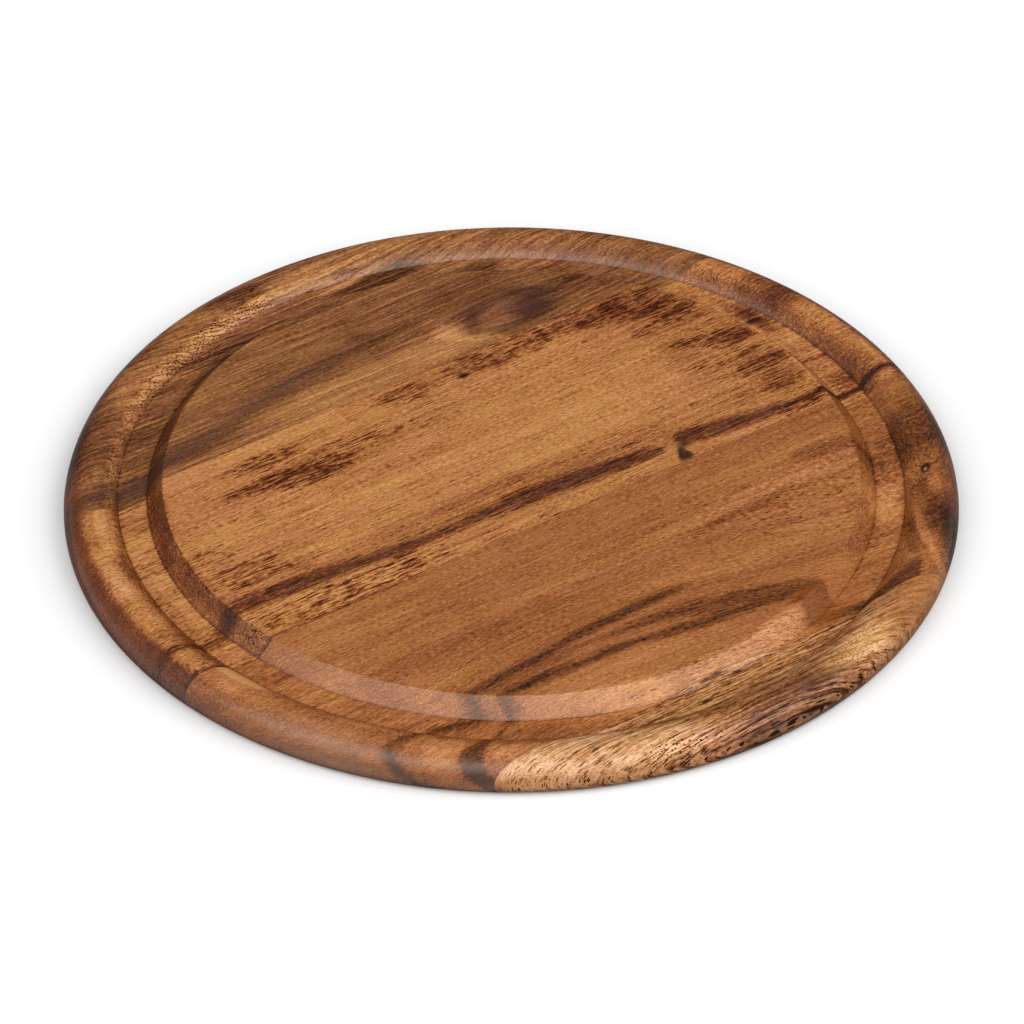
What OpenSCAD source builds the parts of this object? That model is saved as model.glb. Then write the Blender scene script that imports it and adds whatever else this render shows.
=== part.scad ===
// Round pizza serving board. Four acacia staves are glued edge to edge, and the panel is
// turned to one section: a raised serving face, a sloping wall, a flat crumb groove and a
// rounded rim bead. X runs along the grain, Y across the staves and Z up. The origin is
// the middle of the underside.

/* [Board] */
// Overall diameter across the rim
board_d = 330; // [300:1:400]

/* [Serving face] */
// Height of the serving face above the underside
face_h = 17; // [14:0.5:24]
// Horizontal run of the wall that slopes from the serving face down to the groove
wall_run = 6; // [3:0.5:12]
// Width of the eased edge round the serving face, along the face and along the wall
edge_break = 0.3; // [0.1:0.1:1.5]

/* [Crumb groove] */
// Width of the flat groove floor
groove_w = 10.6; // [6:0.2:20]
// Height of the groove floor above the underside
floor_h = 10.5; // [7:0.5:12]

/* [Rim bead] */
// Width of the bead, from the outside of the board to the groove floor
rim_w = 20; // [15:0.5:30]
// Height of the bead's crest above the underside
rim_h = 15.5; // [13.5:0.5:18]
// Radius of the round under the bead, between the underside and the widest point
under_r = 6.5; // [5:0.5:8]

/* [Staves] */
// Width of the narrow front stave at the middle of its outer edge
front_w = 33; // [15:0.5:60]
// Width of the brown stave in front of the middle joint
middle_front_w = 101; // [80:1:120]
// Width of the pale stave behind the middle joint
middle_back_w = 101; // [80:1:120]
// Thickness of the glue film between two staves
glue_t = 0.15; // [0.05:0.05:0.4]

/* [Hidden] */
$fn = 180;

// What a cutting block reaches past the board on each side
overrun = 5;

// Radii of the turned section, from the outside inwards
board_r = board_d / 2;
groove_r = board_r - rim_w;
foot_r = groove_r - groove_w;
face_r = foot_r - wall_run;

// The bead's outside is two rounds that meet at its widest point
crest_r = rim_h - under_r;
crest_x = board_r - crest_r;

// The bead's inside is one arc from the crest, where it is level, down to the groove floor
slope_run = crest_x - groove_r;
slope_drop = rim_h - floor_h;
slope_r = (slope_run * slope_run + slope_drop * slope_drop) / (2 * slope_drop);

// Slope of the wall between the serving face and the groove
wall_angle = atan2(face_h - floor_h, wall_run);

// Places of the three joints, worked out from the front of the board
front_joint_y = front_w - board_r;
middle_joint_y = front_joint_y + middle_front_w;
back_joint_y = middle_joint_y + middle_back_w;

// A quarter round of radius r about x, y: upper is its top quarter, otherwise its bottom one
module quarter_round(x, y, r, upper) {
    intersection() {
        translate([x, y]) circle(r);
        translate([x, upper ? y : y - r]) square(r);
    }
}

// The serving face and its wall, with the eased edge between them
module face_section() {
    polygon([
        [0, 0],
        [foot_r, 0],
        [foot_r, floor_h],
        [face_r + edge_break * cos(wall_angle), face_h - edge_break * sin(wall_angle)],
        [face_r - edge_break, face_h],
        [0, face_h]
    ]);
}

// The rim bead: the arc towards the groove, the two outer rounds and the core under them
module rim_section() {
    intersection() {
        translate([crest_x, rim_h - slope_r]) circle(slope_r);
        translate([groove_r, floor_h]) square([slope_run, slope_drop]);
    }
    quarter_round(crest_x, under_r, crest_r, true);
    quarter_round(board_r - under_r, under_r, under_r, false);
    translate([groove_r, 0]) square([board_r - under_r - groove_r, under_r]);
}

// Half of the board's section, from its axis to the outside of the rim
module board_section() {
    union() {
        face_section();
        square([crest_x, floor_h]);
        rim_section();
    }
}

// The part of the turned board that lies between two planes across the grain
module board_between(y_low, y_high) {
    intersection() {
        rotate_extrude() board_section();
        translate([-board_r - overrun, y_low, -overrun])
            cube([board_d + 2 * overrun, y_high - y_low, face_h + 2 * overrun]);
    }
}

// The glue film that fills one joint from the underside to the turned surface
module glue_line(joint_y) {
    color("#4a2d1b") board_between(joint_y - glue_t / 2, joint_y + glue_t / 2);
}

// Dark grey-brown stave with a swirling knot, furthest back
module back_stave() {
    color("#7d5636") board_between(back_joint_y + glue_t / 2, board_r + overrun);
}

// Pale tan stave with dark heartwood along its front edge
module middle_back_stave() {
    color("#b98452")
        board_between(middle_joint_y + glue_t / 2, back_joint_y - glue_t / 2);
}

// Plain brown stave with dark streaks near its front edge
module middle_front_stave() {
    color("#95683f")
        board_between(front_joint_y + glue_t / 2, middle_joint_y - glue_t / 2);
}

// Narrow pale stave that shows only in the groove and the rim
module front_stave() {
    color("#b07c4c") board_between(-board_r - overrun, front_joint_y - glue_t / 2);
}

module back_glue_line() {
    glue_line(back_joint_y);
}

module middle_glue_line() {
    glue_line(middle_joint_y);
}

module front_glue_line() {
    glue_line(front_joint_y);
}

back_stave();
middle_back_stave();
middle_front_stave();
front_stave();
back_glue_line();
middle_glue_line();
front_glue_line();
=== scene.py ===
# Round pizza serving board: four acacia staves glued edge to edge and turned in one piece.
# X runs along the grain, Y across the staves and Z up. Sizes are in metres, and the wood's
# figure is laid out in millimetres from the middle of the board.
import math

import bmesh
import bpy
from mathutils import Matrix, Vector


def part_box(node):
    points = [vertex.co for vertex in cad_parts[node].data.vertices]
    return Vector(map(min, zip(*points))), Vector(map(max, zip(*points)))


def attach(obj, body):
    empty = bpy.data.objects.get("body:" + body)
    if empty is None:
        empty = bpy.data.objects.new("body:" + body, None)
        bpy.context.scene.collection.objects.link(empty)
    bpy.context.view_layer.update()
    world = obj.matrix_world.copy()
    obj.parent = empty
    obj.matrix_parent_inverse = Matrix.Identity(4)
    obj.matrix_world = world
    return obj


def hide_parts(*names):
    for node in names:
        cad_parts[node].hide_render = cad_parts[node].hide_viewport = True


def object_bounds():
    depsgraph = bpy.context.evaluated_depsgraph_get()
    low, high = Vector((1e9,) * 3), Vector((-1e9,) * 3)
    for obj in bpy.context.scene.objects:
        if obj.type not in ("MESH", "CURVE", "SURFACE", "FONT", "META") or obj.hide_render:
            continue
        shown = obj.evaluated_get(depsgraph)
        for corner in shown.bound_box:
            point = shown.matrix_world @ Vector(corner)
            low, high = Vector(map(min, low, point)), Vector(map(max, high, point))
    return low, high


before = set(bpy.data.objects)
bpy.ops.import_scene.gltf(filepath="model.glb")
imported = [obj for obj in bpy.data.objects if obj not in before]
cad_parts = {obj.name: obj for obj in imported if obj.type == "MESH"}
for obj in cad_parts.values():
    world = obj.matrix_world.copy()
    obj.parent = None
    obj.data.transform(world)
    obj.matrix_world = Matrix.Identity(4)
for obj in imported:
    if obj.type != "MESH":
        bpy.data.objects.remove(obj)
cad_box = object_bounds()

# Turned panel
# The glued panel is turned on a lathe to one section: flat underside, rim bead, crumb groove,
# sloping wall and raised serving face. Each stave is the slice of that turning between its joints.
board_r = (cad_box[1].x - cad_box[0].x) / 2
face_h = cad_box[1].z
rim_w = 0.0200
rim_h = 0.0155
under_r = 0.0065
groove_w = 0.0106
floor_h = 0.0105
wall_run = 0.0060
edge_ease = 0.0003

groove_r = board_r - rim_w
foot_r = groove_r - groove_w
face_r = foot_r - wall_run
crest_r = rim_h - under_r
crest_x = board_r - crest_r
slope_run = crest_x - groove_r
slope_drop = rim_h - floor_h
slope_r = (slope_run ** 2 + slope_drop ** 2) / (2 * slope_drop)
slope_turn = math.asin(slope_run / slope_r)
wall_turn = math.atan2(face_h - floor_h, wall_run)
ease_r = edge_ease / math.tan(wall_turn / 2)
turning_steps = 480
weld_gap = 1e-6
saw_gap = 1e-7
sharp_turn = math.radians(30)

panel = bmesh.new()
tip = panel.verts.new((0, 0, 0))
section = [
    ("line", board_r - under_r, 0, 0, 0),
    ("arc", board_r - under_r, under_r, math.pi / 2, 10),
    ("arc", crest_x, under_r, math.pi / 2, 16),
    ("arc", crest_x, rim_h - slope_r, slope_turn, 14),
    ("line", foot_r, floor_h, 0, 0),
    ("line", face_r + edge_ease * math.cos(wall_turn), face_h - edge_ease * math.sin(wall_turn), 0, 0),
    ("arc", face_r - edge_ease, face_h - ease_r, wall_turn, 5),
    ("line", 0, face_h, 0, 0),
]
for kind, x, z, turn, steps in section:
    if kind == "line":
        tip = bmesh.ops.extrude_vert_indiv(panel, verts=[tip])["verts"][0]
        tip.co = (x, 0, z)
    else:
        swept = bmesh.ops.spin(
            panel, geom=[tip], cent=(x, 0, z), axis=(0, -1, 0), angle=turn, steps=steps)
        tip = [v for v in swept["geom_last"] if isinstance(v, bmesh.types.BMVert)][0]
bmesh.ops.spin(
    panel, geom=panel.verts[:] + panel.edges[:], cent=(0, 0, 0), axis=(0, 0, 1), angle=2 * math.pi,
    steps=turning_steps, use_merge=True)
bmesh.ops.remove_doubles(panel, verts=panel.verts[:], dist=weld_gap)
bmesh.ops.recalc_face_normals(panel, faces=panel.faces[:])


def turned_slice(name, node, finish):
    """Saws the part between a node's two joints out of the turned panel."""
    piece = panel.copy()
    low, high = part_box(node)
    for joint_y, outwards in ((low.y, -1), (high.y, 1)):
        if abs(joint_y) < board_r - under_r:
            whole = piece.verts[:] + piece.edges[:] + piece.faces[:]
            bmesh.ops.bisect_plane(
                piece, geom=whole, dist=saw_gap, plane_co=(0, joint_y, 0),
                plane_no=(0, outwards, 0), clear_outer=True)
            bmesh.ops.holes_fill(piece, edges=[e for e in piece.edges if e.is_boundary])
    bmesh.ops.recalc_face_normals(piece, faces=piece.faces[:])
    mesh = bpy.data.meshes.new(name)
    piece.to_mesh(mesh)
    piece.free()
    mesh.shade_smooth()
    mesh.set_sharp_from_angle(angle=sharp_turn)
    mesh.materials.append(finish)
    stave = bpy.data.objects.new(name, mesh)
    bpy.context.scene.collection.objects.link(stave)
    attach(stave, "root")
    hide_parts(node)


# Acacia
# Acacia, sanded along the grain and wiped with oil. It shows straight dark growth lines, short
# dark vessel dashes that become dots on end grain, dark heartwood streaks and small knots.
mm_per_m = 1000.0
half_span = 170.0  # mm, more than the board's radius
widest = 20.0  # mm, the most that a streak's half width or a bend may be
through = 1000.0  # mm, far more than the board's thickness
noise_middle = 0.5
noise_swing = 0.25


def linear(colour):
    """An sRGB hex colour as the linear colour that a shader socket takes."""
    parts = [int(colour[i:i + 2], 16) / 255 for i in (1, 3, 5)]
    return [c / 12.92 if c <= 0.04045 else ((c + 0.055) / 1.055) ** 2.4 for c in parts] + [1]


def add(tree, kind, links=(), out=0, stops=(), curve=(), **settings):
    """Adds a node, sets it, links or fills its inputs and gives back one of its outputs."""
    made = tree.nodes.new("ShaderNode" + kind)
    for name, value in settings.items():
        setattr(made, name, value)
    for key, value in dict(links).items():
        if isinstance(value, bpy.types.NodeSocket):
            tree.links.new(value, made.inputs[key])
        else:
            made.inputs[key].default_value = value
    for place, colour in stops[2:]:
        made.color_ramp.elements.new(place)
    for element, (place, colour) in zip(made.color_ramp.elements if stops else (), sorted(stops)):
        element.position = place
        element.color = linear(colour)
    for point in curve[2:]:
        made.mapping.curves[0].points.new(*point)
    for handle, point in zip(made.mapping.curves[0].points if curve else (), sorted(curve)):
        handle.location = point
    if curve:
        made.mapping.update()
    return made.outputs[out] if made.outputs else made


def growth(tree, where, seed, size, detail):
    """Noise drawn out along the grain. Its size is the length, width and height of one cloud in mm."""
    drawn = add(
        tree, "Mapping", {"Vector": where, "Location": seed, "Scale": [1 / reach for reach in size]})
    return add(tree, "TexNoise", {"Vector": drawn, "Scale": 1, "Detail": detail})


def along_grain(tree, x, points, limit):
    """A value that follows points of (x, value) along the board, within the limit on each side of 0."""
    along = add(tree, "MapRange", {"Value": x, "From Min": -half_span, "From Max": half_span})
    drawn = add(
        tree, "FloatCurve", {"Value": along},
        curve=[((at + half_span) / (2 * half_span), (value + limit) / (2 * limit)) for at, value in points])
    return add(tree, "MapRange", {"Value": drawn, "To Min": -limit, "To Max": limit})


def oval(tree, where, x, y, reach_x, reach_y, turn):
    """A dome, 1 in the middle of an oval place and 0 at its edge, the same all through the thickness."""
    local = add(
        tree, "Mapping",
        {"Vector": where, "Location": (x, y, 0), "Rotation": (0, 0, math.radians(turn)),
         "Scale": (reach_x, reach_y, through)}, vector_type="TEXTURE")
    return add(tree, "TexGradient", {0: local}, "Fac", gradient_type="SPHERICAL")


def lay_grain(tree, seed, lean, tilt, knots, sweep):
    """The places that the wood is drawn by, in mm from the middle of the serving face.

    Gives back the place on the board, the place in the coloured figure, which leans with the depth, and
    the place along the fibres, which wander, bend as the stave grew and part round the knots.
    """
    here = add(tree, "TexCoord", out="Object")
    board = add(
        tree, "Mapping",
        {"Vector": here, "Location": (0, 0, -mm_per_m * face_h), "Scale": (mm_per_m, mm_per_m, mm_per_m)})
    x, y, z = add(tree, "SeparateXYZ", {0: board}).node.outputs
    beside = add(tree, "Math", {0: z, 1: -lean, 2: y}, operation="MULTIPLY_ADD")
    spot = add(tree, "CombineXYZ", {0: x, 1: beside, 2: z})
    across = beside
    for size, reach in (((120, 45, 45), 4), ((15, 7, 7), 1.4)):
        wander = growth(tree, spot, seed, size, detail=1)
        aside = add(tree, "Math", {0: wander, 1: noise_middle}, operation="SUBTRACT")
        across = add(tree, "Math", {0: aside, 1: reach, 2: across}, operation="MULTIPLY_ADD")
    if sweep:
        bend_line, bend_start, bend_full = sweep
        bend = along_grain(tree, x, bend_line, widest)
        share = add(
            tree, "MapRange", {"Value": beside, "From Min": bend_start, "From Max": bend_full},
            interpolation_type="SMOOTHSTEP")
        across = add(tree, "Math", {0: bend, 1: share, 2: across}, operation="MULTIPLY_ADD")
    for knot_x, knot_y, reach_x, reach_y, spread in knots:
        from_knot = add(
            tree, "Mapping",
            {"Vector": spot, "Location": (knot_x, knot_y, 0), "Scale": (reach_x, reach_y, through)},
            vector_type="TEXTURE")
        away = add(tree, "VectorMath", {0: from_knot, 1: from_knot}, "Value", operation="DOT_PRODUCT")
        fading = add(tree, "Math", {0: away, 1: -1.0}, operation="MULTIPLY")
        swell = add(tree, "Math", {0: fading}, operation="EXPONENT")
        rise = add(tree, "SeparateXYZ", {0: from_knot}).node.outputs["Y"]
        parted = add(tree, "Math", {0: rise, 1: swell}, operation="MULTIPLY")
        across = add(tree, "Math", {0: parted, 1: -spread, 2: across}, operation="MULTIPLY_ADD")
    upright = add(tree, "Math", {0: z, 1: lean - tilt, 2: across}, operation="MULTIPLY_ADD")
    flow = add(tree, "CombineXYZ", {0: x, 1: upright, 2: z})
    return board, spot, flow


def figured_tone(tree, seed, board, spot, flow, end_tone, grain, lines, marks, patches, streaks):
    """The tone of the wood, from 0, dark, to 1, pale, and how open its grain is. The rows are acacia's."""
    x, y, z = add(tree, "SeparateXYZ", {0: board}).node.outputs
    beside = add(tree, "SeparateXYZ", {0: spot}).node.outputs["Y"]
    turned = add(tree, "CombineXYZ", {0: x, 1: y})
    radius = add(tree, "VectorMath", {0: turned}, "Value", operation="LENGTH")
    crest_at = mm_per_m * crest_x

    # End grain has a tone of its own, which is strongest outside the rim's crest
    crest_run = 5.0
    inner_share = 0.6
    facing = add(tree, "SeparateXYZ", {0: add(tree, "TexCoord", out="Normal")}).node.outputs["X"]
    sawn_across = add(tree, "Math", {0: facing}, operation="ABSOLUTE")
    end_grain = add(
        tree, "MapRange", {"Value": sawn_across, "From Min": 0.1, "From Max": 0.6},
        interpolation_type="SMOOTHSTEP")
    outer = add(
        tree, "MapRange",
        {"Value": radius, "From Min": crest_at, "From Max": crest_at + crest_run, "To Min": inner_share},
        interpolation_type="SMOOTHSTEP")
    soaked = add(tree, "Math", {0: end_grain, 1: outer}, operation="MULTIPLY")
    middle_tone = 0.5
    line_cover = 0.3
    level = middle_tone - noise_middle * sum(weight for *size, weight in grain)
    level += line_cover * sum(depth for *size, depth, gather in lines)
    tone = add(tree, "Math", {0: soaked, 1: end_tone, 2: level}, operation="MULTIPLY_ADD")

    # Growth bands, fine lines, fibres and flecks
    for *size, weight in grain:
        figure = growth(tree, flow, seed, size, detail=1)
        tone = add(tree, "Math", {0: figure, 1: weight, 2: tone}, operation="MULTIPLY_ADD")

    # Soft patches, darker or paler than the wood round them
    shoulder = 0.6
    gathering = 0.0
    for *place, shade, gather in patches:
        dome = oval(tree, spot, *place)
        mask = add(
            tree, "MapRange", {"Value": dome, "From Max": shoulder}, interpolation_type="SMOOTHSTEP")
        tone = add(tree, "Math", {0: mask, 1: shade, 2: tone}, operation="MULTIPLY_ADD")
        gathering = add(tree, "Math", {0: mask, 1: gather, 2: gathering}, operation="MULTIPLY_ADD")

    # Heartwood streaks, frayed along the grain
    fray_size = (12, 1.1, 1.1)
    ragged = growth(tree, flow, seed, fray_size, detail=2)
    edge = add(tree, "Math", {0: ragged, 1: noise_middle}, operation="SUBTRACT")
    for line, softness, fray, shade, gather in streaks:
        centre = along_grain(tree, x, [(at, middle) for at, middle, half in line], half_span)
        half_width = along_grain(tree, x, [(at, half) for at, middle, half in line], widest)
        aside = add(tree, "Math", {0: beside, 1: centre}, operation="SUBTRACT")
        off_line = add(tree, "Math", {0: aside}, operation="ABSOLUTE")
        inside = add(tree, "Math", {0: half_width, 1: off_line}, operation="SUBTRACT")
        frayed = add(tree, "Math", {0: edge, 1: fray / noise_swing, 2: inside}, operation="MULTIPLY_ADD")
        mask = add(
            tree, "MapRange", {"Value": frayed, "From Min": -softness / 2, "From Max": softness / 2},
            interpolation_type="SMOOTHSTEP")
        tone = add(tree, "Math", {0: mask, 1: shade, 2: tone}, operation="MULTIPLY_ADD")
        gathering = add(tree, "Math", {0: mask, 1: gather, 2: gathering}, operation="MULTIPLY_ADD")

    # Thin growth lines, which fade on end grain
    line_reach = 0.12
    end_loss = 0.8
    open_grain = 0.0
    long_grain = add(tree, "Math", {0: end_grain, 1: -end_loss, 2: 1.0}, operation="MULTIPLY_ADD")
    for *size, depth, gather in lines:
        figure = growth(tree, flow, seed, size, detail=0)
        aside = add(tree, "Math", {0: figure, 1: noise_middle}, operation="SUBTRACT")
        off_line = add(tree, "Math", {0: aside}, operation="ABSOLUTE")
        thin = add(
            tree, "MapRange", {"Value": off_line, "From Min": line_reach, "From Max": 0.0},
            interpolation_type="SMOOTHSTEP")
        deep = add(
            tree, "Math", {0: gathering, 1: gather, 2: depth}, operation="MULTIPLY_ADD", use_clamp=True)
        drawn_deep = add(tree, "Math", {0: deep, 1: long_grain}, operation="MULTIPLY")
        cut = add(tree, "Math", {0: thin, 1: drawn_deep}, operation="MULTIPLY")
        tone = add(tree, "Math", {0: cut, 1: -1.0, 2: tone}, operation="MULTIPLY_ADD")
        open_grain = add(tree, "Math", {0: cut, 1: open_grain}, operation="ADD")

    # Vessels, drawn wider than real ones so that they show, which gather in some places
    dash_edge = 0.43
    dash_core = 0.3
    doubt = 0.1
    for *size, share, depth, gather in marks:
        drawn = add(
            tree, "Mapping", {"Vector": flow, "Location": seed, "Scale": [1 / reach for reach in size]})
        vessel = add(tree, "TexVoronoi", {"Vector": drawn, "Scale": 1}).node.outputs
        dash = add(
            tree, "MapRange", {"Value": vessel["Distance"], "From Min": dash_edge, "From Max": dash_core},
            interpolation_type="SMOOTHSTEP")
        chance = add(tree, "SeparateColor", {0: vessel["Color"]})
        gathered = add(tree, "Math", {0: gathering, 1: gather, 2: chance}, operation="MULTIPLY_ADD")
        kept = add(
            tree, "MapRange",
            {"Value": gathered, "From Min": 1 - doubt - share, "From Max": 1 + doubt - share},
            interpolation_type="SMOOTHSTEP")
        cut = add(tree, "Math", {0: dash, 1: kept}, operation="MULTIPLY")
        tone = add(tree, "Math", {0: cut, 1: -depth, 2: tone}, operation="MULTIPLY_ADD")
        open_grain = add(tree, "Math", {0: cut, 1: depth, 2: open_grain}, operation="MULTIPLY_ADD")

    # Painted shade: the two corners of the groove are darker, where shade gathers in the creases
    corner_reach = 0.8
    corner_painted_shade = -0.13
    for corner_r in (foot_r, groove_r):
        beyond = add(tree, "Math", {0: radius, 1: mm_per_m * corner_r}, operation="SUBTRACT")
        apart = add(tree, "Math", {0: beyond}, operation="ABSOLUTE")
        corner = add(
            tree, "MapRange",
            {"Value": apart, "From Min": corner_reach, "From Max": 0.0, "To Max": corner_painted_shade},
            interpolation_type="SMOOTHSTEP")
        tone = add(tree, "Math", {0: tone, 1: corner}, operation="ADD")

    # The outside is darker low down, as in the photograph
    # This is painted shade, where the rim's outside turns down away from the lights
    low_start = -6.5
    low_full = -8.5
    low_painted_shade = -0.1
    outside_start = 1.0
    outside_full = 4.0
    low = add(
        tree, "MapRange", {"Value": z, "From Min": low_start, "From Max": low_full, "To Max": low_painted_shade},
        interpolation_type="SMOOTHSTEP")
    outside = add(
        tree, "MapRange",
        {"Value": radius, "From Min": crest_at + outside_start, "From Max": crest_at + outside_full})
    tone = add(tree, "Math", {0: low, 1: outside, 2: tone}, operation="MULTIPLY_ADD")
    return tone, open_grain


def acacia(
        name, seed, tones, lean, tilt, end_tone, grain, lines, marks, patches, streaks=(), knots=(),
        tints=(), sweep=()):
    """Oiled acacia with its figure in place. Distances are in mm, and tones run from 0, dark, to 1, pale.

    lean: how far the coloured figure shifts across the board for each mm of depth
    tilt: the same for fibres and vessels
    end_tone: how the tone of end grain differs
    grain: growth figures of (length, width, height, weight)
    lines: thin growth lines of (length, width, height, depth of tone, extra depth where they gather)
    marks: vessels of (length, width, height, share shown in plain wood, depth of tone, how they gather)
    patches: soft places of (x, y, reach along, reach across, turn, tone, gathering)
    streaks: heartwood of (line of (x, y, half width), softness, fray, tone, gathering)
    knots: places that the fibres part round, of (x, y, reach along, reach across, spread)
    tints: places with their own colour, of (x, y, reach along, reach across, turn, strength, colour)
    sweep: how the fibres bend, as (line of (x, bend), y where it starts, y where it is full)
    """
    wood = bpy.data.materials.new(name)
    wood.use_nodes = True
    tree = wood.node_tree
    tree.nodes.clear()
    board, spot, flow = lay_grain(tree, seed, lean, tilt, knots, sweep)
    tone, open_grain = figured_tone(
        tree, seed, board, spot, flow, end_tone, grain, lines, marks, patches, streaks)
    colour = add(tree, "ValToRGB", {0: tone}, stops=tones)

    # The wood drifts between golden and rosy
    drift_size = (70, 9, 9)
    cloud = growth(tree, flow, seed, drift_size, detail=2)
    hue = add(tree, "ValToRGB", {0: cloud}, stops=[(0.35, "#fdf0f0"), (0.65, "#fffae6")])
    colour = add(
        tree, "Mix", {0: 1.0, 6: colour, 7: hue}, 2, data_type="RGBA", blend_type="MULTIPLY")

    # Knots, pits and other places with a colour of their own
    for *place, strength, tint in tints:
        dome = oval(tree, spot, *place)
        strong = add(tree, "Math", {0: dome, 1: strength}, operation="MULTIPLY", use_clamp=True)
        colour = add(tree, "Mix", {0: strong, 6: colour, 7: linear(tint)}, 2, data_type="RGBA")

    # Satin oil over fibres that stand up a little: pores are dull, and so is the wood seen edge on
    pore_dullness = 1.5
    oil_gloss = 0.75
    dull_gloss = 0.03
    fibre_size = (9, 0.6, 0.6)
    fibre_height = 0.0003
    edge_on = add(tree, "LayerWeight", {"Blend": 0.5}, "Facing")
    dull = add(tree, "Math", {0: open_grain, 1: pore_dullness, 2: edge_on}, operation="MULTIPLY_ADD")
    gloss = add(
        tree, "MapRange",
        {"Value": dull, "From Min": 0.3, "From Max": 0.65, "To Min": oil_gloss, "To Max": dull_gloss})
    roughness = add(tree, "MapRange", {"Value": open_grain, "To Min": 0.4, "To Max": 0.6})
    fibres = growth(tree, flow, seed, fibre_size, detail=1)
    relief = add(tree, "Bump", {"Height": fibres, "Strength": 0.3, "Distance": fibre_height})
    oiled = add(
        tree, "BsdfPrincipled",
        {"Base Color": colour, "Roughness": roughness, "IOR": 1.5, "Specular IOR Level": gloss,
         "Specular Tint": linear("#ffe9d8"), "Normal": relief})
    add(tree, "OutputMaterial", {"Surface": oiled})
    return wood


# Back stave
# The dark stave: grey-brown heartwood with a soft purple-brown band and one large knot.
# It is glued to the pale stave along its front edge.
# The foot of its rim is golden from the back to the left.
gold_out = 2.175
gold_shift = 1.4
gold_long = 14
gold_wide = 3.4
gold_tone = 0.2
gold_gathering = 1.0
gold_r = mm_per_m * groove_r + gold_out
gold_foot = [
    (gold_r * math.cos(math.radians(turn)), gold_r * math.sin(math.radians(turn)) + gold_shift,
     gold_long, gold_wide, turn - 90, gold_tone, gold_gathering)
    for turn in range(98, 154, 6)
]
dark_acacia = acacia(
    "dark oiled acacia heartwood", (11, 3, 7),
    [(0.00, "#2a150c"), (0.20, "#4c2a19"), (0.40, "#764a2d"), (0.55, "#91603b"), (0.75, "#b5804f"),
     (0.95, "#d3a268")],
    lean=0.3, tilt=0, end_tone=-0.3,
    grain=[(220, 9, 9, 0.25), (60, 1.6, 5, 0.4), (12, 0.7, 4, 0.4), (2, 0.4, 0.4, 0.8)],
    lines=[(45, 1.6, 6, 0.15, 0.12), (20, 0.9, 4, 0.06, 0.04)],
    marks=[(7, 0.6, 0.8, 0.15, 0.18, 0.4), (1.1, 0.9, 0.9, -0.5, 0.4, 1.3)],
    patches=[
        (-10, 77, 70, 12, 0, 0.14, -0.4),
        (-65, 107, 42, 12, 20, 0.02, -0.2),
        (-58, 124, 32, 3, 25, -0.12, 0),
        (28, 80, 26, 14, 0, 0.08, -0.2),
        (65, 103, 60, 10, 0, -0.1, 0),
        (95, 84, 34, 12, -20, -0.1, 0),
        (-96, 104, 52, 8, 43, -0.06, 0.1),
        (-56, 120, 32, 5, 25, -0.16, 0),
        (-93, 94, 30, 5, 45, -0.1, 0),
        (-113, 114, 38, 12, 45, -0.14, 0),
        (-25, 153.5, 20, 6, 4, -0.2, 0.2),
        (-12, 125.5, 26, 5, 4, -0.1, 0),
        (-14, 153.4, 18, 5, 4, -0.08, 0),
        (-68, 145.3, 24, 5, 25, -0.1, 0),
        (-62, 140, 60, 18, 24, 0.08, 0.4),
        (20, 151, 60, 11, 0, 0.1, 0.4),
        (88, 126, 40, 26, -42, 0.06, 0.3),
        (19, 143, 15, 2.5, 0, 0.2, 0),
        (32, 138, 30, 6, 0, -0.26, 0.3),
        (65, 122, 17, 7, 0, -0.2, 0.3),
        (-35, 133, 38, 7, 0, -0.14, 0.4),
        # The large knot and the pale wood beside it
        (57, 84.5, 29, 17, -8, -0.2, -0.3),
        (54, 84, 17, 9, 10, 0.2, 0),
        (65, 81, 11, 8, -10, -0.24, -0.2),
        (70, 90, 15, 5, -38, -0.12, -0.2),
        (41, 84, 12, 4, 62, -0.12, 0),
        (30, 86, 8, 7, 0, 0.18, 0),
        (39, 75.5, 15, 3, -28, 0.14, 0),
    ] + gold_foot,
    streaks=[
        ([(-165, 78, 3), (-145, 78, 5), (-110, 79, 6), (-80, 82, 4), (-60, 87, 3.5), (-40, 92.5, 3.5),
          (-20, 95.5, 3.5), (0, 97, 4), (20, 97.5, 2), (40, 98, -6), (165, 98, -10)],
         9, 0.8, -0.22, -0.4),
    ],
    knots=[(60, 84, 24, 15, 9)],
    tints=[
        # The large knot
        (57, 85, 30, 18, -8, 0.4, "#613f30"),
        (66, 83, 14, 10, -20, 0.4, "#52322a"),
        # The left of the rim
        (-140, 81, 26, 7, 58, 0.4, "#7c3c1a"),
        # The dark streak
        (-108, 79.5, 45, 7, 3, 0.4, "#573f36"),
        (-45, 91, 48, 6, 9, 0.35, "#573f36"),
    ],
)
turned_slice("back_stave_wood", "back_stave", dark_acacia)

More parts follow.
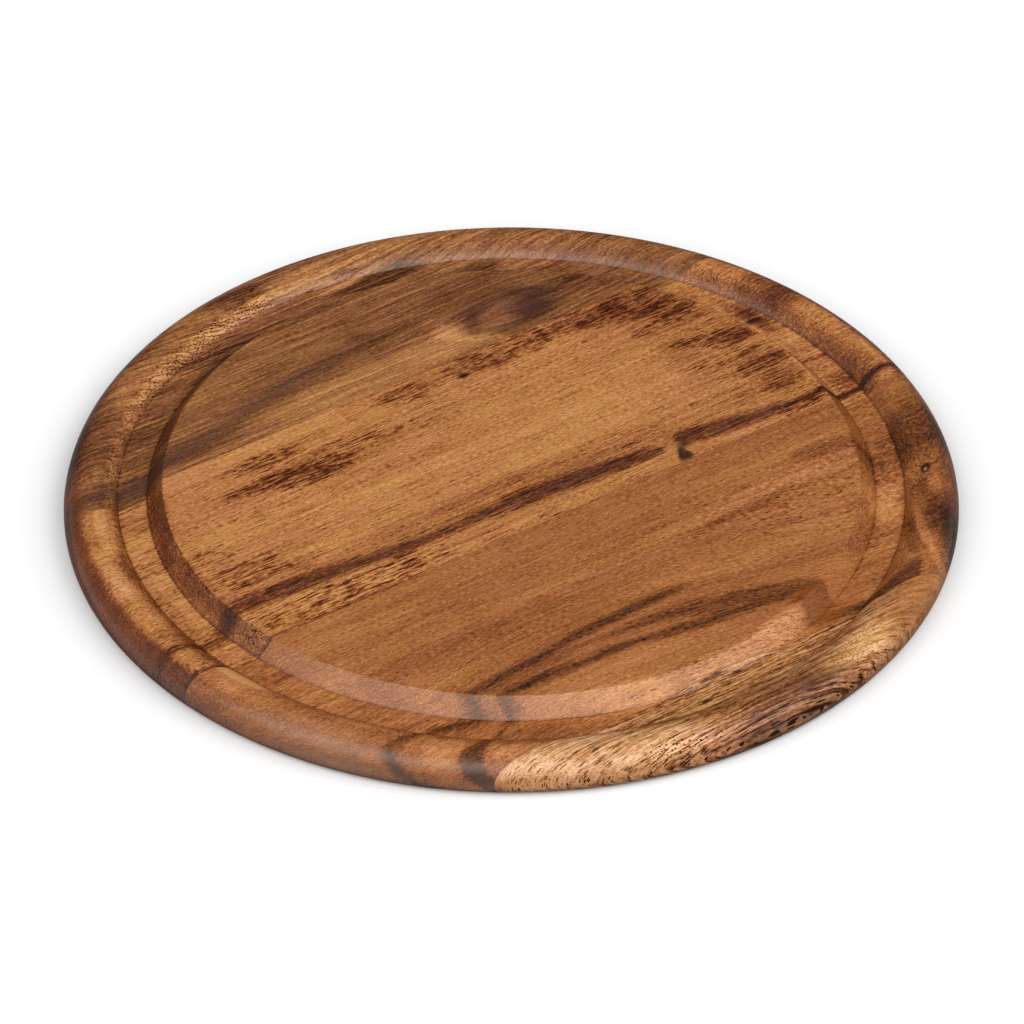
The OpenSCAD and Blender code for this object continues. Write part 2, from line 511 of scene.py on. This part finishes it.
# Middle back stave
# Pale tan sapwood with clusters of dark vessel dashes and a heartwood streak along its front edge.
# It is glued between the dark stave and the brown one.
pale_acacia = acacia(
    "pale oiled acacia sapwood", (5, 17, 2),
    [(0.00, "#36190f"), (0.15, "#562a19"), (0.30, "#794324"), (0.50, "#b47845"), (0.65, "#ca935e"),
     (0.85, "#deb080")],
    lean=0.2, tilt=0.2, end_tone=-0.34,
    grain=[(220, 12, 12, 0.22), (60, 1.6, 1.6, 0.25), (10, 0.7, 0.7, 0.3), (2, 0.4, 0.4, 0.8)],
    lines=[(30, 1.5, 1.2, 0.08, 0.08)],
    marks=[
        (9, 1.1, 1.0, 0.02, 0.24, 0.75),
        (5, 0.6, 0.6, 0.1, 0.2, 0.5),
        (24, 0.6, 0.6, 0.25, 0.12, 0.2),
        (6, 0.9, 0.9, -0.9, 0.26, 1.3),
    ],
    patches=[
        (-70, 58, 22, 7, 0, -0.05, 1.1),
        (-75, 46, 30, 6, 0, -0.05, 1.1),
        (-60, 41, 24, 7, -5, -0.05, 1.1),
        (-46, 47, 13, 11, 0, -0.02, 0.9),
        (-20, 46, 28, 5, -8, -0.02, 0.9),
        (-5, 62, 16, 8, 0, -0.02, 1.1),
        (45, 64, 48, 10, 0, -0.04, 1.0),
        (95, 61, 32, 13, 0, -0.16, 0.9),
        (110, 51, 22, 8, 0, -0.08, 0.9),
        (102, 44, 24, 7, 0, -0.04, 1.0),
        (108, 26, 24, 6, -18, -0.05, 1.1),
        (117, 22, 13, 8, 0, -0.05, 0.7),
        (106, 13, 26, 6, -6, 0.0, 1.0),
        (117, 2, 20, 7, 0, -0.05, 1.1),
        (116, -11, 11, 9, 0, -0.04, 0.9),
        (-118, 20, 14, 9, 0, -0.02, 0.9),
        (-113, 7, 22, 9, 0, -0.03, 0.9),
        (-105, 0, 28, 7, 0, -0.03, 0.8),
        (-98, -23, 42, 10, 0, 0.08, 1.5),
        (-66, -25, 28, 6, 0, 0.07, 1.2),
        (-95, 12, 60, 40, 0, 0.05, 0.05),
        (-62, -20, 13, 7, 0, 0.0, 1.0),
        (112, -27, 18, 5, 0, -0.04, 1.1),
        (20, 20, 120, 30, 0, 0.03, -0.1),
        (-75, 67, 60, 7, 0, 0.07, -0.3),
        (151, 35, 10, 9, 0, -0.16, 0),
        (147, -16, 14, 10, 0, -0.06, 0),
        (139, -16, 9, 8, 0, -0.12, 0),
        (-129, 14, 5, 40, 0, -0.08, 0),
        (-118.5, 55, 26, 5, 65, -0.12, 0),
        (-137, 63, 30, 5, 65, 0.16, 0),
        (-150.5, 22, 5, 40, 0, 0.12, 0),
        (146, 42, 16, 16, 0, -0.12, 0),
        # Painted highlight along the top edge of the right wall
        (131.5, 5, 5, 46, 0, 0.14, 0),
        (129.5, -10, 4, 16, 0, 0.1, 0),
        (135, 38, 20, 5, 105, -0.2, 0),
        (-142, 13, 4, 30, 0, -0.08, 0),
        (150, 41, 20, 5, 105, -0.1, 0),
        (159, -13, 5, 16, 0, 0.1, 0),
        (112, 15, 34, 40, 0, -0.06, 0.1),
    ],
    streaks=[
        ([(-165, -14, 1.5), (-145, -14, 2), (-128, -10, 3.5), (-105, -10, 4), (-85, -11.5, 3.6),
          (-70, -13, 2.8), (-50, -14.5, 2.4), (-20, -15, 3.2), (0, -15.5, 4.4), (20, -17, 4.2),
          (40, -18.5, 3.4), (53, -20, 2.6), (58, -20, -2), (63, -19, 3.4), (72, -20, 4), (80, -21.4, 3.8),
          (96, -23.6, 2.8), (112, -24.6, 2), (125, -24.4, 1.6), (165, -23.4, 1.2)],
         5, 1.2, -0.23, 0.5),
        ([(-165, -24, -8), (112, -24.4, -5), (126, -24.2, 1.3), (143, -23.6, 1.5), (154, -23.4, 1.1),
          (165, -23.2, -1)],
         2, 0.3, -0.26, 0.1),
        ([(-165, -8, 0), (-60, -8, 2), (0, -8, 6), (50, -12, 6), (90, -18, 2), (165, -20, -5)],
         12, 2, -0.06, 0.1),
        ([(-165, -30, 1.6), (-145, -30, 1.2), (-80, -30.4, 0.5), (-30, -30.9, -0.5), (165, -31, -3)],
         2, 0.3, -0.2, 0.2),
    ],
    tints=[
        # A small knot on the face and a dark fleck in the groove
        (19.5, 59.5, 4.2, 2.0, 0, 1.5, "#241209"),
        (135.5, 34, 5, 1.6, 0, 2.0, "#2a1409"),
        # The hooked knot on the heartwood streak
        (58.2, -26.6, 6.2, 2.0, 63, 1.6, "#3d2217"),
        (60.4, -27, 5.4, 1.8, 98, 1.4, "#482a1c"),
        (58.9, -28.6, 4, 2.8, 10, 1.5, "#3d2217"),
        (62.6, -22.2, 5.5, 3, 25, 1.1, "#452a1f"),
        # The purple heart of the streak
        (-75, -12, 60, 5.5, -3, 0.45, "#442720"),
        (15, -17, 50, 6, -4, 0.45, "#442720"),
        (88, -22, 34, 5.5, -7, 0.5, "#442720"),
        # The left of the rim
        (-152, 55, 26, 7, 70, 0.4, "#7c3c1a"),
        (-163, 10, 6, 40, 0, 0.4, "#7c3c1a"),
    ],
)
turned_slice("middle_back_stave_wood", "middle_back_stave", pale_acacia)

# Middle front stave
# Plain brown acacia with fine speckle, and dark streaks near its front edge.
# It is glued between the pale stave and the narrow front one.
# The near wall is paler, partly its own paler wood and partly a painted sheen where it faces the lights, in
# places a little apart from the wall's middle because the figure leans.
wall_r = mm_per_m * (face_r + foot_r) / 2
wall_shift = 3.4
wall_long = 22
wall_wide = 2.8
# Pale patches along the near wall: paler wood and painted sheen
wall_tone_and_painted_sheen = [
    (wall_r * math.sin(turn), wall_shift - wall_r * math.cos(turn), wall_long, wall_wide,
     math.degrees(turn), tone, gather)
    for turn, tone, gather in (
        (-0.26, 0.12, 0.3), (0.0, 0.14, 0.7), (0.22, 0.22, 1.0), (0.48, 0.06, 0.3))
]
brown_acacia = acacia(
    "brown oiled acacia", (23, 9, 4),
    [(0.00, "#241109"), (0.15, "#4b2814"), (0.35, "#7e4924"), (0.50, "#a06539"), (0.65, "#b87d4c"),
     (0.85, "#d29e69")],
    lean=1.1, tilt=-0.8, end_tone=-0.14,
    grain=[(240, 12, 12, 0.22), (60, 1.6, 2.5, 0.22), (10, 0.7, 1.4, 0.3), (2, 0.3, 0.3, 0.9)],
    lines=[(30, 2.2, 3, 0.06, 0.06)],
    marks=[(4, 0.5, 0.8, 0.03, 0.26, 0.7), (1.8, 0.5, 0.6, 0.08, 0.12, 0.4)],
    sweep=([(-165, 8), (-100, 4), (-50, 0), (0, 3), (50, 12), (100, 18), (165, 20)], -45, -90),
    patches=[
        (-60, -75, 80, 14, -4, -0.07, 0),
        (-105, -60, 50, 40, 0, 0.04, 0),
        (60, -61, 66, 5, 0, 0.08, 0),
        (55, -67, 28, 3.5, 0, -0.1, 0),
        (96, -64, 20, 4, -8, 0.08, 0),
        (106, -54, 22, 6, -8, -0.14, 0),
        (85, -85, 44, 24, -25, 0.03, 0.4),
        (-25, -118, 60, 12, 0, 0.06, 0),
        (-80, -107.5, 44, 5, -35, -0.06, 0),
        (-88, -126.4, 13, 5, -20, 0.2, 0.9),
        (-146, -42, 12, 16, 0, 0.12, 0),
        (-144, -35, 18, 5, 105, 0.36, 0),
        (-122.5, -83, 18, 5, 125, 0.1, 0),
        (-62, -98, 30, 8, 4, -0.1, 0),
        (-108, -111, 11, 7, -20, 0.12, 0),
        (60, -119.5, 16, 5, -10, -0.07, 0),
        (138, -58, 26, 22, 0, -0.14, 0),
        (143, -64, 34, 12, 65, -0.14, 0),
        (133, -56, 26, 5, 65, -0.1, 0),
        (113, -108, 26, 9, 45, -0.12, 0),
        (116, -62.5, 12, 5, 62, -0.1, 0),
        (107, -81.5, 17, 8, 50, 0.18, 0),
        (47, -119, 12, 3, 19, -0.05, 0.1),
        (106, -108, 22, 3, 66, 0.2, 0),
        (99.5, -109, 20, 4, 63, -0.12, 0),
        (115, -106, 17, 4, 60, -0.08, 0),
        (120, -99, 34, 20, 50, -0.08, 0),
        (122, -87.4, 9, 3, 58, -0.14, 0),
        (119, -107.4, 9, 5, 45, -0.12, 0),
        (126, -90, 10, 3, 58, 0.12, 0.3),
        (103, -119.6, 12, 3, 52, 0.14, 0.4),
        (10, -117, 44, 7, 0, -0.05, 0),
    ] + wall_tone_and_painted_sheen,
    streaks=[
        ([(-165, -100, 2), (-125, -99.8, 2.2), (-113, -99.4, 2), (-104, -92.6, 1.6), (-96, -94, 1.8),
          (-87, -96, 1.8), (-70, -95, 1.6), (-50, -93, 1.6), (-30, -91, 2.2), (-10, -90, 2.4),
          (10, -90, 1.2), (30, -91, -3), (165, -95, -6)],
         4, 0.9, -0.26, 0.2),
        ([(-165, -122, 3.4), (-104, -120.7, 3.6), (-97, -118.5, 3.2), (-91, -114, 2.2), (-84, -107, 1.4),
          (-79, -105, -1), (-70, -103.4, -6), (165, -104, -8)],
         3, 1.0, -0.27, 0),
        ([(-165, -110, -8), (-84, -104, -2), (-76, -103.6, 1.6), (-68, -103.6, 2.2), (-40, -104.5, 2.2),
          (-20, -106, 2), (-10, -108, 2), (0, -109.5, 2.5), (10, -111, 2.5), (25, -114, 1), (40, -117, -3),
          (165, -120, -8)],
         4, 1.0, -0.26, 0.3),
        ([(-165, -98, -8), (-40, -97, -1), (-20, -98, 1.2), (0, -100.5, 3), (20, -106, 4.5), (38, -112, 5),
          (48, -114.5, 4), (57, -117, 0), (63, -119, -5), (165, -122, -8)],
         5, 1.4, -0.22, 0.4),
        ([(-165, -120, -8), (30, -119.5, -3), (44, -120.5, 1.4), (57, -121.9, 2), (68, -124.4, 3),
          (76, -127, 4.4), (84, -126.6, 4.4), (92, -124.5, 1.6), (100, -122, -4), (165, -120, -8)],
         4, 1.0, -0.26, 0.2),
    ],
    tints=[
        # A pit between the streaks
        (-66, -104, 4, 1.4, 0, 1.0, "#1c0f08"),
        # Orange and dark wood by the front joint
        (47.5, -119, 15, 6, 20, 0.6, "#8f4c12"),
        (80, -126.6, 17, 5, 18, 0.5, "#4f2d22"),
        (62, -115, 20, 6, 28, 0.4, "#98551f"),
        # The left of the rim, paler and greyer: a painted sheen
        (-138, -78, 36, 6, 120, 0.2, "#bd9478"),
        # A pin knot with a pale middle, on the right of the rim
        (128.7, -80.6, 3.6, 2.8, 40, 2.2, "#351a0f"),
        (128.2, -81.2, 1.2, 0.9, 40, 1.2, "#b4875a"),
    ],
)
turned_slice("middle_front_stave_wood", "middle_front_stave", brown_acacia)

# Front stave
# A narrow pale stave, turned away except in the groove and the rim, with fine black vessel dashes.
# It is glued to the front edge of the brown stave.
figured_acacia = acacia(
    "figured oiled acacia", (2, 31, 8),
    [(0.00, "#2a140a"), (0.20, "#56321c"), (0.40, "#8b5a34"), (0.55, "#b27c50"), (0.75, "#cf9f74"),
     (0.95, "#e8c6a0")],
    lean=0, tilt=0, end_tone=0,
    grain=[(160, 6, 6, 0.25), (50, 1.5, 5, 0.35), (12, 0.7, 5, 0.35), (2, 0.4, 0.4, 0.8)],
    lines=[(40, 1.5, 7, 0.22, 0.1), (24, 0.9, 5, 0.14, 0.1)],
    marks=[(7, 0.34, 2.4, 0.4, 0.5, 0.4), (1.2, 0.8, 0.8, -0.5, 0.55, 1.4)],
    patches=[
        (-62, -143, 52, 14, -23, 0.2, 0.2),
        # A painted highlight: paler wood along the near rim where the lights shine on it
        (-35, -157.5, 26, 5, -12, 0.1, 0.5),
        (-42, -143.5, 18, 4, -10, -0.08, 0.3),
        (0, -152, 28, 5, 0, -0.04, 0.3),
        # Purple-brown figure, darkened further as painted shade low on the rim
        (14, -159.5, 42, 8, 3, -0.18, 0),
        (-44, -162, 42, 5, -15, -0.06, 0),
        (16, -146.5, 30, 5, 5, 0.14, 0.3),
        (47, -150.5, 24, 8, 14, 0.4, 1.0),
        (74, -144, 36, 13, 28, -0.1, -0.6),
        (0, -138, 60, 6, 0, 0.02, 0.3),
        (-22, -146, 34, 4, -8, -0.08, -0.3),
    ],
    tints=[
        # The dark foot of the rim, the golden band and the orange tip
        (20, -157.5, 32, 4, 4, 0.4, "#6a4535"),
        (47, -150.5, 26, 7, 14, 0.48, "#d4a254"),
        (84, -138, 34, 13, 30, 0.6, "#a96a33"),
    ],
)
turned_slice("front_stave_wood", "front_stave", figured_acacia)

# Glue lines
# Thin films of cured wood glue between the staves, turned flush with the wood.
# They show as hairlines, brown from the sanding dust and the oil.
wood_glue = bpy.data.materials.new("cured wood glue under oil")
wood_glue.use_nodes = True
glue_tree = wood_glue.node_tree
glue_tree.nodes.clear()
glue_long = 9
glue_here = add(glue_tree, "TexCoord", out="Object")
glue_spot = add(
    glue_tree, "Mapping",
    {"Vector": glue_here, "Scale": (mm_per_m / glue_long, mm_per_m, mm_per_m)})
glue_cloud = add(glue_tree, "TexNoise", {"Vector": glue_spot, "Scale": 1, "Detail": 2})
glue_colour = add(glue_tree, "ValToRGB", {0: glue_cloud}, stops=[(0.35, "#4a2d1b"), (0.65, "#7d5030")])
glue_film = add(glue_tree, "BsdfPrincipled", {"Base Color": glue_colour, "Roughness": 0.5, "IOR": 1.48})
add(glue_tree, "OutputMaterial", {"Surface": glue_film})
for joint in ("back", "middle", "front"):
    turned_slice(joint + "_glue_film", joint + "_glue_line", wood_glue)
panel.free()

# Studio
# A white floor, three large soft lights on the camera's side of the board, a dim room above and a
# pale horizon, and a long lens that looks down on the board at a slant to the grain.
camera_azimuth = math.radians(-34.8)
camera_elevation = math.radians(37.888)
camera_distance = 2.2
lens_mm = 209.09
frame_shift = (0.00065, -0.0027)
light_elevation = math.radians(42)
light_spread = math.radians(50)
room_strength = 0.12
horizon_strength = 0.4
horizon_low = 0.03
horizon_top = 0.1
floor_half = 12.0


def direction(azimuth, elevation):
    """The unit vector from the board towards an azimuth, where 0 is along -Y, and an elevation."""
    level = math.cos(elevation)
    return Vector((level * math.sin(azimuth), -level * math.cos(azimuth), math.sin(elevation)))


lens = bpy.data.cameras.new("camera")
lens.lens = lens_mm
lens.shift_x, lens.shift_y = frame_shift
camera = bpy.data.objects.new("camera", lens)
towards_camera = direction(camera_azimuth, camera_elevation)
camera.matrix_world = Matrix.Translation(towards_camera * camera_distance) @ (
    towards_camera.to_track_quat("Z", "Y").to_matrix().to_4x4())
bpy.context.scene.collection.objects.link(camera)
bpy.context.scene.camera = camera

for side, offset, strength in (("left", -50, 1.35), ("middle", 10, 1.75), ("right", 70, 1.4)):
    key = bpy.data.lights.new(side + " soft light", "SUN")
    key.energy = strength
    key.angle = light_spread
    key_light = bpy.data.objects.new(side + " soft light", key)
    towards_light = direction(camera_azimuth + math.radians(offset), light_elevation)
    key_light.matrix_world = towards_light.to_track_quat("Z", "Y").to_matrix().to_4x4()
    bpy.context.scene.collection.objects.link(key_light)

room = bpy.data.worlds.new("studio room")
room.use_nodes = True
room_tree = room.node_tree
room_tree.nodes.clear()
looking = add(room_tree, "SeparateXYZ", {0: add(room_tree, "TexCoord", out="Generated")}).node.outputs["Z"]
brightness = add(
    room_tree, "MapRange",
    {"Value": looking, "From Min": horizon_low, "From Max": horizon_top, "To Min": horizon_strength,
     "To Max": room_strength})
backdrop = add(room_tree, "Background", {"Color": linear("#ffffff"), "Strength": brightness})
add(room_tree, "OutputWorld", {"Surface": backdrop})
bpy.context.scene.world = room

# The floor looks white to the camera and in reflections, and lights the board like a darker one
white_floor = bpy.data.materials.new("matt white floor")
white_floor.use_nodes = True
floor_tree = white_floor.node_tree
floor_tree.nodes.clear()
rays = add(floor_tree, "LightPath").node.outputs
seen = add(floor_tree, "Math", {0: rays["Is Camera Ray"], 1: rays["Is Glossy Ray"]}, operation="MAXIMUM")
shown = add(floor_tree, "Math", {0: seen, 1: rays["Is Transmission Ray"]}, operation="MAXIMUM")
shade = add(
    floor_tree, "Mix", {0: shown, 6: linear("#484848"), 7: linear("#fcfcfc")}, 2, data_type="RGBA")
paper = add(floor_tree, "BsdfDiffuse", {"Color": shade})
add(floor_tree, "OutputMaterial", {"Surface": paper})
floor_shape = bmesh.new()
bmesh.ops.create_grid(floor_shape, x_segments=1, y_segments=1, size=floor_half)
floor_mesh = bpy.data.meshes.new("floor")
floor_shape.to_mesh(floor_mesh)
floor_shape.free()
floor_mesh.materials.append(white_floor)
floor = bpy.data.objects.new("floor", floor_mesh)
bpy.context.scene.collection.objects.link(floor)

bpy.context.scene.view_settings.view_transform = "Standard"
